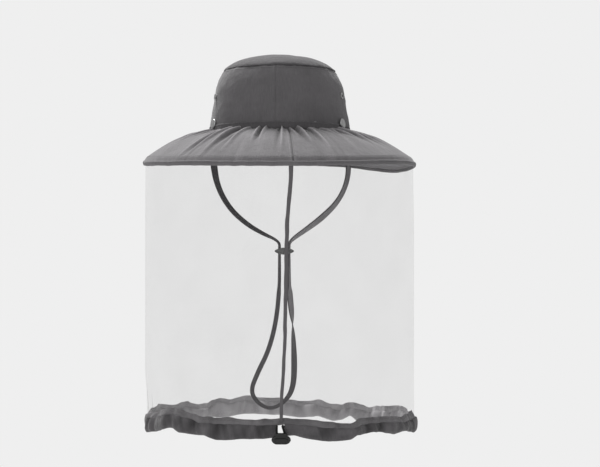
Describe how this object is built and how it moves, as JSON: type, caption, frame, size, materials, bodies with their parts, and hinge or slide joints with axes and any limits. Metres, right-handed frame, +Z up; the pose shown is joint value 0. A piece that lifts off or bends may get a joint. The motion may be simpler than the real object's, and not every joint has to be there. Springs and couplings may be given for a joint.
{
  "type": "beekeeping veil",
  "caption": "Soft sun hat with a wide wired brim and a clear net veil that falls to a gathered drawcord hem, with a chin tape and slider.",
  "frame": {"origin": "centre of the head opening, on the plane of the crown's lower edge", "axes": "+Z up through the crown, -Y the way the wearer looks, +X on the right of someone who faces the hat"},
  "size_m": [0.3502, 0.3781, 0.4816],
  "materials": {
    "crown_fabric": "plain woven cotton-poly, matt",
    "crown_top_fabric": "plain woven cotton-poly, matt",
    "piping_fabric": "covered piping cord",
    "sweatband_fabric": "soft tape",
    "brim_fabric": "gathered light woven cloth with a slight sheen",
    "binding_fabric": "folded edge tape with a stitch line",
    "net_mesh": "fine knitted insect mesh, nearly clear",
    "seam_tape": "folded seam tape",
    "hem_fabric": "crinkled light woven cloth",
    "cord_black": "braided round cord",
    "chin_tape_fabric": "flat woven tape",
    "tab_fabric": "folded tab",
    "plastic_black": "moulded, soft gloss",
    "plastic_grey": "moulded, satin",
    "metal_grey": "satin plated",
    "spring_steel": "drawn wire"
  },
  "bodies": {
    "hat": {"crown_front_left_panel": "crown_fabric", "crown_front_right_panel": "crown_fabric", "crown_back_panel": "crown_fabric", "crown_top_panel": "crown_top_fabric", "crown_top_piping": "piping_fabric", "crown_base_band": "crown_fabric", "sweatband": "sweatband_fabric", "side_seam_tapes": "sweatband_fabric", "vent_eyelets": "metal_grey", "vent_eyelet_washers": "metal_grey", "press_stud_caps": "metal_grey", "press_stud_backs": "metal_grey", "brim_top_cover": "brim_fabric", "brim_under_lining": "brim_fabric", "rim_binding": "binding_fabric", "brim_wire": "spring_steel", "brim_wire_sleeve": "spring_steel", "net_veil": "net_mesh", "front_seam_tape": "seam_tape", "chin_anchor_tab_left": "tab_fabric", "chin_anchor_tab_right": "tab_fabric", "chin_tape": "chin_tape_fabric"},
    "hem": {"hem_casing": "hem_fabric", "hem_drawcord": "cord_black", "drawcord_end_beads": "plastic_black"},
    "cord_lock": {"lock_body": "plastic_black", "lock_spring": "spring_steel"},
    "lock_plunger": {"lock_button": "plastic_black"},
    "slider": {"chin_slider": "plastic_grey"}
  },
  "joints": [
    {"name": "hem_lift", "type": "slide", "parent": "hat", "child": "hem", "axis": [0, 0, 1], "range_m": [0, 0.25], "deforming": ["net_veil", "front_seam_tape"]},
    {"name": "lock_slide", "type": "slide", "parent": "hem", "child": "cord_lock", "axis": [0, 0, 1], "range_m": [0, 0.004]},
    {"name": "lock_press", "type": "slide", "parent": "cord_lock", "child": "lock_plunger", "axis": [0, 1, 0], "range_m": [0, 0.002], "stiffness_N_per_m": 400, "springref_m": -0.001, "deforming": ["lock_spring"]},
    {"name": "chin_slider_slide", "type": "slide", "parent": "hat", "child": "slider", "axis": [0, 0, 1], "range_m": [-0.036, 0]}
  ]
}
